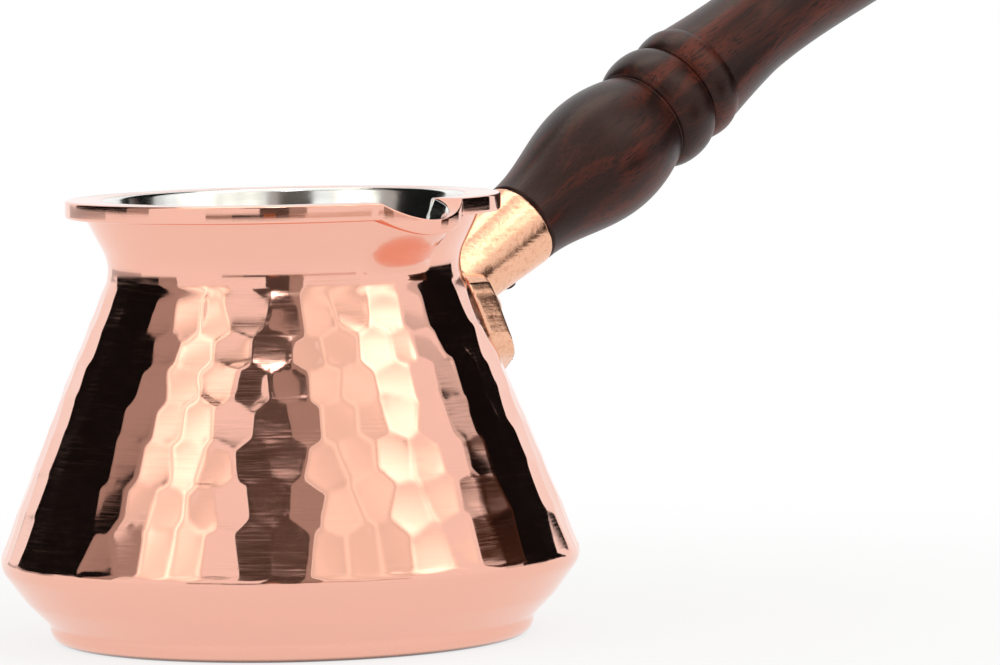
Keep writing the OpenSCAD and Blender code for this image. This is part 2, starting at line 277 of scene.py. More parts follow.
@dataclass(frozen=True)
class PolishedCopper(Copper):
    """Sheet copper, planished and then polished on a wheel.

    It mirrors the room in a pale salmon. The wheel leaves hair lines around the pot, which
    draw each bright reflection out a little up and down.
    """

    name: str = "polished_copper"
    colour: str = "#F7BCA8"
    roughness: float = 0.06
    line_roughness: float = 2.6
    brushed: float = 0.95
    quarter_turn: float = 0.25
    line_mm: float = 0.22
    line_length: float = 40.0
    line_depth_mm: float = 0.0012
    line_span: Span = (0.4, 0.7)

    def surface(self, graph: Graph) -> dict[Any, Any]:
        """Hair lines around the pot, and an anisotropic sheen across them."""
        lines = 1 / (self.line_mm * MM)
        along = lines / self.line_length
        hair = graph.noise((along, along, lines), detail=3.0, roughness=0.6)
        around = graph.add("ShaderNodeTangent", {"direction_type": "RADIAL", "axis": "Z"})
        rough = (self.roughness, self.roughness * self.line_roughness)
        # The base colour carries painted shade in gaps and corners.
        return {
            "Base Color": self.with_painted_gap_shade(graph, srgb(self.colour)), "Metallic": 1.0,
            "Roughness": graph.remap(hair, self.line_span, rough), "Anisotropic": self.brushed,
            "Anisotropic Rotation": self.quarter_turn, "Tangent": around.outputs[0],
            "Normal": graph.bump(hair, self.line_depth_mm)}


@dataclass(frozen=True)
class WipedTin(Finish):
    """Tin wiped over hot copper with a cloth: bright, slightly cloudy, with wipe marks."""

    name: str = "wiped_tin"
    colour: str = "#FAFAF6"
    cloudy: str = "#EEEEEA"
    roughness: float = 0.1
    cloudy_roughness: float = 1.8
    wipe_mm: float = 1.6
    wipe_length: float = 8.0
    wipe_depth_mm: float = 0.004

    def surface(self, graph: Graph) -> dict[Any, Any]:
        """Streaks around the pot that change tone, gloss and relief."""
        wipes = 1 / (self.wipe_mm * MM)
        along = wipes / self.wipe_length
        streak = graph.noise((along, along, wipes), detail=4.0, roughness=0.55)
        rough = (self.roughness * self.cloudy_roughness, self.roughness)
        return {
            "Base Color": graph.ramp(streak, [(0.35, self.cloudy), (0.6, self.colour)]),
            "Metallic": 1.0, "Roughness": graph.remap(streak, self.noise_span, rough),
            "Normal": graph.bump(streak, self.wipe_depth_mm)}


@dataclass(frozen=True)
class BrushedCasting(Copper):
    """A copper alloy casting, filed and brushed but not polished.

    It glows softly where the polished shell mirrors. The sand leaves its skin uneven, so the
    edges of its reflections are ragged, with darker metal in the hollows.
    """

    name: str = "brushed_copper_casting"
    colour: str = "#F6BE9E"
    pitted: str = "#DFA282"
    roughness: float = 0.16
    filed: Span = (0.8, 1.4)
    grain_mm: float = 0.9
    grain_depth_mm: float = 0.03
    file_length: float = 9.0
    file_rise: float = 1.3

    def surface(self, graph: Graph) -> dict[Any, Any]:
        """Sand grain and file marks: both in the relief, one in the tone, one in the gloss."""
        grain = 1 / (self.grain_mm * MM)
        skin = graph.noise((grain, grain, grain), detail=5.0, roughness=0.65)
        along = grain / self.file_length
        file_marks = graph.noise((along, along, grain * self.file_rise), detail=3.0)
        tone = graph.ramp(skin, [(0.3, self.pitted), (0.5, self.colour)])
        rough = [self.roughness * share for share in self.filed]
        # The base colour carries painted shade in gaps and corners.
        return {
            "Base Color": self.with_painted_gap_shade(graph, tone), "Metallic": 1.0,
            "Roughness": graph.remap(file_marks, self.noise_span, rough),
            "Normal": graph.bump(graph.maths("ADD", skin, file_marks), self.grain_depth_mm)}


@dataclass(frozen=True)
class DarkSteel(Finish):
    """A plain steel nail, darkened and made patchy by handling."""

    name: str = "dark_steel"
    colour: str = "#57524E"
    roughness: float = 0.35
    handled: Span = (0.7, 1.4)
    spots_per_m: float = 1800.0

    def surface(self, graph: Graph) -> dict[Any, Any]:
        """Spots that change the gloss."""
        spots = graph.noise([self.spots_per_m] * 3, detail=3.0)
        rough = [self.roughness * share for share in self.handled]
        return {"Base Color": srgb(self.colour), "Metallic": 1.0,
                "Roughness": graph.remap(spots, onto=rough)}


@dataclass(frozen=True)
class LacqueredWalnut(Finish):
    """Turned walnut, stained dark and sealed with a satin lacquer.

    The stain is nearly black, red-brown wood shows through in streaks along the grain, and
    short open pores break the lacquer's sheen.
    """

    name: str = "lacquered_walnut"
    dark: str = "#0D0706"
    body: str = "#28120E"
    warm: str = "#6A2A1A"
    sheen: str = "#FFD2C8"
    roughness: Span = (0.3, 0.42)
    ior: float = 1.38
    coat: float = 0.08
    coat_roughness: float = 0.2
    figure_mm: float = 5.5
    figure_length: float = 7.0
    figure_bend: float = 0.6
    pore_mm: float = 0.28
    pore_length: float = 16.0
    pore_depth_mm: float = 0.02
    pore_strength: float = 0.7
    pore_span: Span = (0.34, 0.46)
    rise_deg: float = 29.7

    def surface(self, graph: Graph) -> dict[Any, Any]:
        """Figure and pores along the handle, under a thin lacquer."""
        turn = (0.0, -math.radians(90 - self.rise_deg), 0.0)
        band = 1 / (self.figure_mm * MM)
        figure = graph.noise((band, band, band / self.figure_length), detail=5.0,
                             roughness=0.55, distortion=self.figure_bend, turn=turn)
        tone = graph.ramp(figure, [(0.26, self.dark), (0.5, self.body), (0.74, self.warm)])
        fine = 1 / (self.pore_mm * MM)
        pores = graph.noise((fine, fine, fine / self.pore_length), detail=2.0, turn=turn)
        closed = graph.remap(pores, self.pore_span)
        return {
            "Base Color": graph.mix(closed, srgb(self.dark), tone),
            "Roughness": graph.remap(figure, self.noise_span, self.roughness), "IOR": self.ior,
            "Specular Tint": srgb(self.sheen), "Coat Weight": self.coat,
            "Coat Roughness": self.coat_roughness,
            "Normal": graph.bump(closed, self.pore_depth_mm, self.pore_strength)}


# ---- Mesh helpers ----


def new_piece(name: str, data: Any) -> Piece:
    """Puts a mesh or a camera into the scene as a new object."""
    piece = bpy.data.objects.new(name, data)
    bpy.context.scene.collection.objects.link(piece)
    return piece


def mesh_piece(name: str, points: Any, faces: Sequence[Sequence[int]] = ()) -> Piece:
    """Makes a new object from points in millimetres and the faces between them."""
    mesh = bpy.data.meshes.new(name)
    mesh.from_pydata((np.asarray(points) * MM).tolist(), [], faces)
    return new_piece(name, mesh)


def point_places(piece: Piece) -> np.ndarray:
    """The places of a piece's points, in millimetres."""
    flat = np.empty(len(piece.data.vertices) * 3)
    piece.data.vertices.foreach_get("co", flat)
    return flat.reshape(-1, 3) / MM


def store(piece: Piece, name: str, values: np.ndarray) -> None:
    """Stores a number or a vector on each point of a piece."""
    kind, part = ("FLOAT", "value") if values.ndim == 1 else ("FLOAT_VECTOR", "vector")
    piece.data.attributes.new(name, kind, "POINT").data.foreach_set(part, values.ravel())


def shade_smooth(piece: Piece) -> Piece:
    """Shades all faces of a piece smooth."""
    piece.data.polygons.foreach_set("use_smooth", [True] * len(piece.data.polygons))
    return piece


def clean_piece(piece: Piece) -> Piece:
    """Merges doubles, points the faces outwards and shades the piece smooth."""
    work = bmesh.new()
    work.from_mesh(piece.data)
    bmesh.ops.remove_doubles(work, verts=work.verts, dist=MERGE_MM * MM)
    bmesh.ops.recalc_face_normals(work, faces=work.faces)
    work.to_mesh(piece.data)
    work.free()
    return shade_smooth(piece)


def dressed(piece: Piece, material: Material) -> Piece:
    """Gives a piece its one material."""
    piece.data.materials.append(material)
    return piece


def grid_piece(name: str, rings: np.ndarray) -> Piece:
    """Makes a closed piece from rings of points.

    Args:
        name: Name of the piece.
        rings: Points in millimetres, shaped (rings, points on a ring, 3). If the first ring
            isn't shrunk to a point, the last one is joined to it.

    Returns:
        The new object.
    """
    index = np.arange(rings[..., 0].size).reshape(rings.shape[:2])
    if np.ptp(rings[0], axis=0).max() > MERGE_MM:
        index = np.vstack([index, index[:1]])
    after = np.roll(index, -1, axis=1)
    faces = np.stack([index[:-1], after[:-1], after[1:], index[1:]], axis=-1)
    return clean_piece(mesh_piece(name, rings.reshape(-1, 3), faces.reshape(-1, 4).tolist()))


def baked(piece: Piece) -> Piece:
    """Turns a piece's live modifiers into plain mesh.

    Args:
        piece: The object, with its modifiers.

    Returns:
        The same object, holding the evaluated mesh and no modifier.
    """
    graph = bpy.context.evaluated_depsgraph_get()
    mesh = bpy.data.meshes.new_from_object(piece.evaluated_get(graph),
                                           preserve_all_data_layers=True, depsgraph=graph)
    piece.modifiers.clear()
    piece.data = mesh
    return piece


SOCKET_KINDS = {float: "NodeSocketFloat", int: "NodeSocketInt", Piece: "NodeSocketObject",
                Material: "NodeSocketMaterial"}


class PieceTree(Graph):
    """A geometry tree that works on one piece, with a named input for each value."""

    def __init__(self, name: str, values: dict[str, Any]) -> None:
        """Makes the tree with its inputs.

        Args:
            name: Name of the tree.
            values: Input name to value, with the piece's material as "Material".
        """
        super().__init__(bpy.data.node_groups.new(name, "GeometryNodeTree"))
        self.values = values
        sockets = self.tree.interface
        for way in ("INPUT", "OUTPUT"):
            sockets.new_socket("Geometry", in_out=way, socket_type="NodeSocketGeometry")
        for label, value in values.items():
            sockets.new_socket(label, in_out="INPUT", socket_type=SOCKET_KINDS[type(value)])
        self.given = self.add("NodeGroupInput").outputs

    def stored(self, name: str, kind: str = "FLOAT") -> Socket:
        """Reads what was stored on the piece's points."""
        node = self.add("GeometryNodeInputNamedAttribute", {"data_type": kind}, {"Name": name})
        return node.outputs["Attribute"]

    def pushed(self, depth: Socket) -> Socket:
        """Moves the piece's points out along their normals.

        Args:
            depth: How far, in metres.

        Returns:
            The moved geometry.
        """
        normal = self.add("GeometryNodeInputNormal").outputs[0]
        push = self.add("ShaderNodeVectorMath", {"operation": "SCALE"},
                        {0: normal, "Scale": depth})
        moved = self.add("GeometryNodeSetPosition", inputs={
            "Geometry": self.given["Geometry"], "Offset": push.outputs[0]})
        return moved.outputs[0]

    def apply(self, piece: Piece, geometry: Socket) -> Piece:
        """Gives the tree's result its material, and keeps it as the piece's plain mesh.

        Args:
            piece: The object that the tree works on.
            geometry: What the tree has made.

        Returns:
            The same object, with the result.
        """
        dressed = self.add("GeometryNodeSetMaterial", inputs={
            "Geometry": geometry, "Material": self.given["Material"]})
        self.add("NodeGroupOutput", inputs={0: dressed.outputs[0]})
        modifier = piece.modifiers.new(self.tree.name, "NODES")
        modifier.node_group = self.tree
        for item in self.tree.interface.items_tree:
            if item.in_out == "INPUT" and item.name in self.values:
                modifier[item.identifier] = self.values[item.name]
        return baked(piece)


# ---- Profiles ----


@dataclass(frozen=True)
class Corner:
    """A corner of an outline, which may be rounded."""

    x: float
    y: float
    rounding: float = 0.0
    steps: int = 1

    @property
    def place(self) -> np.ndarray:
        """The corner's place."""
        return np.array([self.x, self.y])


def unit(vector: np.ndarray) -> np.ndarray:
    """The vector at length 1."""
    return vector / np.linalg.norm(vector)


def rounded_path(corners: Sequence[Corner]) -> np.ndarray:
    """Lays a path through corners, with an arc at each one between the ends.

    Args:
        corners: The corners in order.

    Returns:
        The path's points.
    """
    points = [corners[0].place]
    for before, corner, after in zip(corners, corners[1:], corners[2:]):
        back = unit(before.place - corner.place)
        ahead = unit(after.place - corner.place)
        half = math.acos(float(back @ ahead)) / 2
        inward = unit(back + ahead)
        centre = corner.place + inward * corner.rounding / math.sin(half)
        turned = back[1] * ahead[0] - back[0] * ahead[1]
        share = np.linspace(-0.5, 0.5, corner.steps + 1)
        angle = math.atan2(-inward[1], -inward[0]) + share * math.copysign(
            math.pi - 2 * half, turned)
        points.extend(centre + corner.rounding * np.stack([np.cos(angle), np.sin(angle)], 1))
    return np.array([*points, corners[-1].place])


def resampled(points: np.ndarray, longest: float) -> np.ndarray:
    """Splits the long stretches of a path, and keeps all its points.

    Args:
        points: The path's points.
        longest: Longest stretch that may stay.

    Returns:
        The points with the new ones between them.
    """
    result = [points[0]]
    for start, end in zip(points[:-1], points[1:]):
        parts = max(1, math.ceil(float(np.linalg.norm(end - start)) / longest))
        result.extend(start + (end - start) * (k + 1) / parts for k in range(parts))
    return np.array(result)


def smooth(value: np.ndarray) -> np.ndarray:
    """A soft step from 0 to 1."""
    held = np.clip(value, 0, 1)
    return held * held * (3 - 2 * held)


def rotation(degrees: float, axis: str) -> Matrix:
    """The matrix of a turn about an axis."""
    return Matrix.Rotation(math.radians(degrees), 4, axis)


def turned_rings(path: Any, around: int) -> np.ndarray:
    """Sweeps a profile around local Z.

    Args:
        path: Radius and height of each ring.
        around: Number of points on each ring.

    Returns:
        Points shaped (rings, around, 3).
    """
    angle = np.linspace(0, 2 * math.pi, around, endpoint=False)[None, :]
    radius, height = np.asarray(path).T[..., None]
    return np.stack([radius * np.cos(angle), radius * np.sin(angle), height + 0 * angle],
                    axis=-1)


def dome_arc(radius: float, rise: float, seat: float,
             steps: int = 8) -> list[Span]:
    """Profile of a domed head, from its edge to its top.

    Args:
        radius: Radius of the head.
        rise: Height of the dome.
        seat: Height of its edge.
        steps: Number of stretches.

    Returns:
        Radius and height of each point.
    """
    ball = (radius**2 + rise**2) / (2 * rise)
    half = math.asin(radius / ball)
    return [(ball * math.sin(a), ball * math.cos(a) - ball + rise + seat)
            for a in np.linspace(half, 0, steps + 1)]


# ---- The pot ----


@dataclass(frozen=True)
class PotShape:
    """Sizes of the shell, and the surface that they describe.

    A corner is a radius, a height, a rounding and its steps. The lip spans `lip_half` degrees
    to each side of `lip_deg` and takes up `lip_pinch` of the rim's width. `lip_draw` crowds
    the points of a ring together around it, and `probe` is the step between measured heights.
    """

    height: float = 74.0
    wall: float = 1.8
    tin: float = 0.2
    foot: Corner = Corner(40.6, 0, 2.6, 8)
    foot_crease: Corner = Corner(40.6, 3.2, 1.2, 4)
    base: Corner = Corner(37.4, 0, 4, 8)
    knee: Corner = Corner(44.4, 7, 8, 6)
    belly: Corner = Corner(49, 13.2, 3.5, 8)
    neck: Corner = Corner(28.8, 62.6, 7.5, 16)
    flare: Corner = Corner(33.2, 71.1, 0.3, 3)
    rim_lower: Corner = Corner(36.5, 71.1, 0.5, 5)
    rim_upper: Corner = Corner(36.45, 74, 0.35, 5)
    mouth: Corner = Corner(30.3, 74, 1, 8)
    bow: float = 0.45
    lip_deg: float = -90.0
    lip_half: float = 14.0
    lip_out: float = 2.6
    lip_pinch: float = 0.8
    lip_drop: float = 3.0
    lip_root: float = 61.0
    lip_draw: float = 0.45
    lip_draw_deg: float = 32.0
    probe: float = 1.0

    def bowed(self, path: np.ndarray) -> np.ndarray:
        """Bows the wall between belly and neck outwards."""
        share = (path[:, 1] - self.belly.y) / (self.neck.y - self.belly.y)
        push = np.where((share > 0) & (share < 1), 4 * self.bow * share * (1 - share), 0)
        return path + np.stack([push, np.zeros_like(push)], axis=1)

    def outer_path(self, longest: float) -> np.ndarray:
        """The outline from the middle of the base up to the inner edge of the rim."""
        path = rounded_path([Corner(0, 0), self.foot, self.foot_crease, self.knee,
                             self.belly, self.neck, self.flare, self.rim_lower,
                             self.rim_upper, self.mouth, self.inner_corner(self.neck)])
        side = resampled(path[1 : -1 - self.mouth.steps // 2], longest)
        return self.bowed(np.vstack([path[:1], side]))

    def inner_corner(self, corner: Corner) -> Corner:
        """The corner of the inner wall behind a corner of the outer wall."""
        outline = [Corner(0, 0), self.base, self.knee, self.belly, self.neck, self.flare]
        before, _, after = outline[outline.index(corner) - 1 :][:3]
        first, second = unit(corner.place - before.place), unit(after.place - corner.place)
        left = np.array([-first[1], first[0]])
        middle = unit(left + [-second[1], second[0]])
        place = corner.place + middle * self.wall / float(middle @ left)
        inward = {self.base: 0.0, self.knee: -self.wall, self.belly: -self.wall / 2,
                  self.neck: self.wall}
        return Corner(float(place[0]), float(place[1]), corner.rounding + inward[corner],
                      corner.steps)

    def inner_path(self, longest: float) -> np.ndarray:
        """The outline from the middle of the mouth's edge to the middle of the floor."""
        behind = [self.inner_corner(at) for at in (self.neck, self.belly, self.knee, self.base)]
        path = rounded_path([self.rim_upper, self.mouth, *behind, Corner(0, self.wall)])
        return self.bowed(resampled(path[self.mouth.steps // 2 + 1 :], longest))

    def wall_radius(self, height: np.ndarray | float) -> np.ndarray | float:
        """Radius of the smooth outer wall at a height."""
        path = self.outer_path(self.probe)
        top = self.rim_lower.y - self.probe / 2
        wall = path[(path[:, 0] > self.probe) & (path[:, 1] < top)]
        return np.interp(height, wall[:, 1], wall[:, 0])

    def wall_rise(self, height: float) -> float:
        """Rise of the wall's outward normal above the horizontal, in radians."""
        drop = self.wall_radius(height - self.probe) - self.wall_radius(height + self.probe)
        return math.atan2(float(drop), 2 * self.probe)

    def surface(self, path: np.ndarray, around: int) -> np.ndarray:
        """Sweeps an outline around the axis, with the lip pressed into it.

        Args:
            path: Radius and height of each ring.
            around: Number of points on each ring.

        Returns:
            Points shaped (rings, around, 3).
        """
        height = path[:, 1][:, None]
        rise = smooth((height - self.lip_root) / (self.height - self.lip_root))
        turn = np.linspace(0, 360, around, endpoint=False)[None, :]
        away = (turn - self.lip_deg + 540) % 360 - 180
        away = away * (1 - self.lip_draw * rise * np.exp(-(away / self.lip_draw_deg) ** 2))
        share = np.abs(away) / self.lip_half
        press = np.where(share < 1, 1 - share**2, 0) * rise
        drawn = np.where(share < 1, 1 - share**4, 0) * rise
        inner = path[:, 0][:, None]
        radius = (inner + press * self.lip_out
                  + drawn * self.lip_pinch * (self.rim_upper.x - inner))
        angle = np.radians(away + self.lip_deg)
        return np.stack([radius * np.cos(angle), radius * np.sin(angle),
                         height - self.lip_drop * press], axis=-1)


@dataclass(frozen=True)
class HammerMarks:
    """The marks of the planishing hammer on the wall between the belly and the neck.

    Each blow leaves a nearly flat oval. The rows lie as brick courses do on the camera's
    side, and they come closer together towards the neck as the wall gets narrower. The band
    lies `step` in from the smooth wall, and the middle of a mark `level` more. A mark is flat
    where `face_top` or `face_bottom` is the wall's own radius. Points find their mark in a
    space where each row is `row_metric` high. Each of the waves in the band's ends has its
    number around the pot, its share of `wave` and its shift.
    """

    shape: PotShape
    low: float = 14.5
    high: float = 61.0
    rows_low: float = 15.3
    rows_high: float = 58.0
    rows: int = 7
    row_metric: float = 4.9
    row_limits: Span = (0.3, 1.6)
    mark_width: float = 5.8
    bricks_meet_deg: float = -130.0
    face_top: float = 28.0
    face_bottom: float = 44.0
    web: float = 0.008
    web_from: float = 2.2
    web_to: float = 3.3
    lean: float = 0.02
    level: float = 0.17
    step: float = 0.1
    step_edge: float = 0.5
    top_fade: float = 4.5
    ridge_rounds: int = 1
    jitter: float = 0.12
    wave: float = 0.12
    waves: tuple[tuple[int, float, float], ...] = ((5, 1, 0), (13, 0.8, 1), (31, 0.6, 2))
    seed: int = 11

    @property
    def shrink(self) -> float:
        """What is left of the wall's radius from the bottom row to the top one."""
        low, high = self.shape.wall_radius(np.array([self.rows_low, self.rows_high]))
        return float(high / low)

    def row_number(self, height: np.ndarray) -> np.ndarray:
        """Number of rows below a height, with its fraction."""
        shrink = self.shrink
        share = (height - self.rows_low) / (self.rows_high - self.rows_low)
        left = np.clip(1 - share * (1 - shrink), *self.row_limits)
        return self.rows * np.log(left) / math.log(shrink)

    def centres(self) -> np.ndarray:
        """Places the middle of each mark.

        Returns:
            Points in millimetres, with the row number times its metric as their height.
        """
        random = np.random.default_rng(self.seed)
        shrink = self.shrink
        points = []
        for row in range(self.rows):
            share = (1 - shrink ** ((row + 0.5) / self.rows)) / (1 - shrink)
            middle = self.rows_low + (self.rows_high - self.rows_low) * share
            radius = float(self.shape.wall_radius(middle))
            count = round(2 * math.pi * radius / self.mark_width)
            for number in range(count):
                slip = random.normal(0, self.jitter, 2) * self.mark_width
                turn = self.bricks_meet_deg + 360 * (number + row % 2 / 2) / count
                angle = math.radians(turn) + slip[0] / radius
                points.append([radius * math.cos(angle), radius * math.sin(angle),
                               (row + 0.5) * self.row_metric + slip[1]])
        return np.array(points)

    def mark(self, piece: Piece) -> None:
        """Stores each point's place among the rows, and if it is on the outer wall."""
        places = point_places(piece)
        radius = np.hypot(places[:, 0], places[:, 1])
        depth = self.shape.wall_radius(places[:, 2]) - radius
        turn = np.arctan2(places[:, 1], places[:, 0])
        wave = sum(size * np.sin(count * turn + shift) for count, size, shift in self.waves)
        rows = self.row_number(places[:, 2])
        store(piece, "outer_wall", (depth < self.shape.wall / 2).astype(float))
        store(piece, "band_height", (places[:, 2] + self.wave * wave) * MM)
        store(piece, "row_height", rows * self.row_metric * MM)

    def dent(self, piece: Piece, middles: Piece, material: Material) -> Piece:
        """Dents a wall around each mark's middle.

        The depth falls with the square of the distance from the nearest middle, which
        flattens the round wall. Each mark leans a little its own way, as the hammer did,
        and a low web rises where marks meet.

        Args:
            piece: The wall, with its stored values.
            middles: The middles, as the points of a piece.
            material: What the wall is made of.

        Returns:
            The same wall, with its marks.
        """
        lengths = ("face_top", "face_bottom", "web", "web_from", "web_to", "level", "step",
                   "low", "high", "step_edge", "top_fade")
        graph = PieceTree("planished_wall", {
            **{name.replace("_", " ").title(): getattr(self, name) * MM for name in lengths},
            "Marks": middles, "Lean": self.lean, "Seed": self.seed,
            "Ridge Rounds": self.ridge_rounds, "Material": material})
        given = graph.given
        place = graph.add("GeometryNodeInputPosition").outputs[0]
        parts = graph.add("ShaderNodeSeparateXYZ", inputs={0: place}).outputs
        height = graph.stored("band_height")
        in_rows = graph.add("ShaderNodeCombineXYZ", inputs={
            0: parts[0], 1: parts[1], 2: graph.stored("row_height")}).outputs[0]
        marks = graph.add("GeometryNodeObjectInfo", inputs={"Object": given["Marks"]})
        cloud = marks.outputs["Geometry"]
        nearest = graph.add("GeometryNodeSampleNearest", inputs={
            "Geometry": cloud, "Sample Position": in_rows}).outputs[0]
        middle = graph.add("GeometryNodeSampleIndex", {"data_type": "FLOAT_VECTOR"}, {
            "Geometry": cloud, "Value": place, "Index": nearest})
        away = graph.vector("SUBTRACT", in_rows, middle.outputs[0]).outputs[0]
        distance = graph.vector("LENGTH", away).outputs["Value"]
        face = graph.remap(height, (given["Low"], given["High"]),
                           (given["Face Bottom"], given["Face Top"]))
        own_way = graph.add("FunctionNodeRandomValue", {"data_type": "FLOAT_VECTOR"}, {
            0: (-1.0, -1.0, -1.0), "ID": nearest, "Seed": given["Seed"]})
        across = graph.vector("DOT_PRODUCT", away, own_way.outputs[0]).outputs["Value"]
        web = graph.remap(distance, (given["Web From"], given["Web To"]),
                          (0.0, given["Web"]), Ease.SOFT)
        dish = graph.maths("DIVIDE", graph.maths("POWER", distance, 2.0),
                           graph.maths("MULTIPLY", face, 2.0))
        for more in (web, graph.maths("MULTIPLY", across, given["Lean"])):
            dish = graph.maths("ADD", dish, more)
        soft = graph.add("GeometryNodeBlurAttribute", {"data_type": "FLOAT"}, {
            0: dish, "Iterations": given["Ridge Rounds"]})
        dish = graph.maths("SUBTRACT", soft.outputs[0], given["Level"])
        faded = self.soft_edge(graph, height, given["High"], given["Top Fade"])
        depth = graph.maths("SUBTRACT", graph.maths("MULTIPLY", dish, faded), given["Step"])
        back = graph.maths("MULTIPLY", given["Step Edge"], -1.0)
        for share in (self.soft_edge(graph, height, given["High"], given["Step Edge"]),
                      self.soft_edge(graph, height, given["Low"], back),
                      graph.stored("outer_wall")):
            depth = graph.maths("MULTIPLY", depth, share)
        return graph.apply(piece, graph.pushed(depth))

    @staticmethod
    def soft_edge(graph: Graph, height: Socket, end: Socket, reach: Socket) -> Socket:
        """Rises from 0 at the band's end to 1 a reach further into the band."""
        inside = graph.maths("DIVIDE", graph.maths("SUBTRACT", end, height), reach)
        return graph.remap(inside, ease=Ease.SOFT)


@dataclass
class PotShell:
    """The copper shell: base, bowl, hammered wall, neck, rim and pouring lip."""

    shape: PotShape
    marks: HammerMarks
    finish: PolishedCopper = PolishedCopper()
    around: int = 500
    wall_step: float = 0.52
    smooth_step: float = 2.4
    inner_step: float = 6.0
    inner_kept: int = 3
    margin: float = 1.0

    def build(self) -> Piece:
        """Makes the shell with its hammer marks, finely meshed only where they are."""
        outer = self.shape.outer_path(self.smooth_step)
        in_band = (outer[:, 1] > self.marks.low - self.margin) & (
            outer[:, 1] < self.marks.high + self.margin)
        in_band &= outer[:, 0] > self.shape.neck.x - self.margin
        band = np.flatnonzero(in_band)
        fine = resampled(outer[band[0] : band[-1] + 1], self.wall_step)
        lined = self.shape.inner_path(self.inner_step)
        path = np.vstack([outer[: band[0]], fine, outer[band[-1] + 1 :],
                          lined[: -1 : self.inner_kept], lined[-1:]])
        piece = grid_piece("copper_shell", self.shape.surface(path, self.around))
        self.marks.mark(piece)
        middles = mesh_piece("mark_middles", self.marks.centres())
        self.marks.dent(piece, middles, self.finish.build())
        bpy.data.objects.remove(middles)
        return piece


@dataclass
class TinLining:
    """The coat of tin over the inside, from the mouth's edge down."""

    shape: PotShape
    finish: WipedTin = WipedTin()
    step: float = 1.5
    around: int = 300

    def build(self) -> Piece:
        """Makes the coat as a closed skin."""
        back = self.shape.inner_path(self.step)
        along = np.vstack([back[1:], back[-1:]]) - np.vstack([back[:1], back[:-1]])
        along /= np.linalg.norm(along, axis=1)[:, None]
        face = back + self.shape.tin * np.stack([along[:, 1], -along[:, 0]], axis=1)
        face[-1, 0] = 0.0
        path = np.vstack([back, face[::-1]])
        piece = grid_piece("tin_coat", self.shape.surface(path, self.around))
        return dressed(piece, self.finish.build())


@dataclass(frozen=True)
class HandleAxis:
    """The line that the socket and the handle share."""

    meets_pot_axis: float = 36.2
    rise_deg: float = 29.7
    socket_end: float = 61.2

    def matrix(self, along: float) -> Matrix:
        """Turns local Z to the handle's line, with its origin at a distance along it."""
        lift = Matrix.Translation((0, 0, self.meets_pot_axis))
        return lift @ rotation(90 - self.rise_deg, "Y") @ Matrix.Translation((0, 0, along))

    def place(self, rings: np.ndarray, along: float) -> np.ndarray:
        """Moves points made around local Z onto the handle's line."""
        matrix = np.array(self.matrix(along))
        return rings @ matrix[:3, :3].T + matrix[:3, 3]


# ---- Bracket, rivets and pin ----


@dataclass
class Bracket:
    """The casting that holds the handle: a socket and a plate shaped to the wall."""

    shape: PotShape
    axis: HandleAxis
    finish: BrushedCasting = BrushedCasting()
    socket_radius: float = 6.75
    plate_outer: float = 4.2
    voxel: float = 0.3
    blend_reach: float = 1.4
    blend_least: float = 0.02
    blend_rounds: int = 15
    edge_rounds: int = 3
    sand_mm: float = 1.1
    sand_depth: float = 0.035
    sand_detail: float = 3.0
    sand_seed: float = 3.0

    def build(self, solid: Piece) -> Piece:
        """Softens the plain solid into a casting.

        Args:
            solid: The bracket of the frame, which is copied and left as it is.

        Returns:
            The new piece.
        """
        piece = new_piece("cast_bracket", solid.data.copy())
        piece.data.materials.clear()
        clean_piece(piece)
        remesh = piece.modifiers.new("voxels", "REMESH")
        remesh.mode = "VOXEL"
        remesh.voxel_size = self.voxel * MM
        baked(piece)
        self.weigh_joint(piece)
        blend = piece.modifiers.new("fillet", "SMOOTH")
        blend.vertex_group = "joint"
        blend.iterations = self.blend_rounds
        piece.modifiers.new("edges", "SMOOTH").iterations = self.edge_rounds
        return shade_smooth(self.sanded(baked(piece)))

    def weigh_joint(self, piece: Piece) -> None:
        """Weighs the points where the socket meets the plate, for the fillet."""
        places = point_places(piece)
        inverse = np.array(self.axis.matrix(0).inverted())
        local = places @ inverse[:3, :3].T + inverse[:3, 3]
        from_axis = np.hypot(local[:, 0], local[:, 1])
        from_wall = np.hypot(places[:, 0], places[:, 1]) - self.shape.wall_radius(places[:, 2])
        gap = np.hypot(from_axis - self.socket_radius, from_wall - self.plate_outer)
        weight = 1 - smooth(gap / self.blend_reach)
        group = piece.vertex_groups.new(name="joint")
        for index in np.flatnonzero(weight > self.blend_least):
            group.add([int(index)], float(weight[index]), "REPLACE")

    def sanded(self, piece: Piece) -> Piece:
        """Roughens the piece's skin as the sand of a mould does."""
        graph = PieceTree("sand_cast_skin", {
            "Grain": 1 / (self.sand_mm * MM), "Depth": self.sand_depth * MM,
            "Seed": self.sand_seed, "Material": self.finish.build()})
        noise = graph.add("ShaderNodeTexNoise", {"noise_dimensions": "4D"}, {
            "Scale": graph.given["Grain"], "W": graph.given["Seed"],
            "Detail": self.sand_detail})
        level = graph.maths("SUBTRACT", noise.outputs[0], 0.5)
        depth = graph.maths("MULTIPLY", level, graph.given["Depth"])
        return graph.apply(piece, graph.pushed(depth))


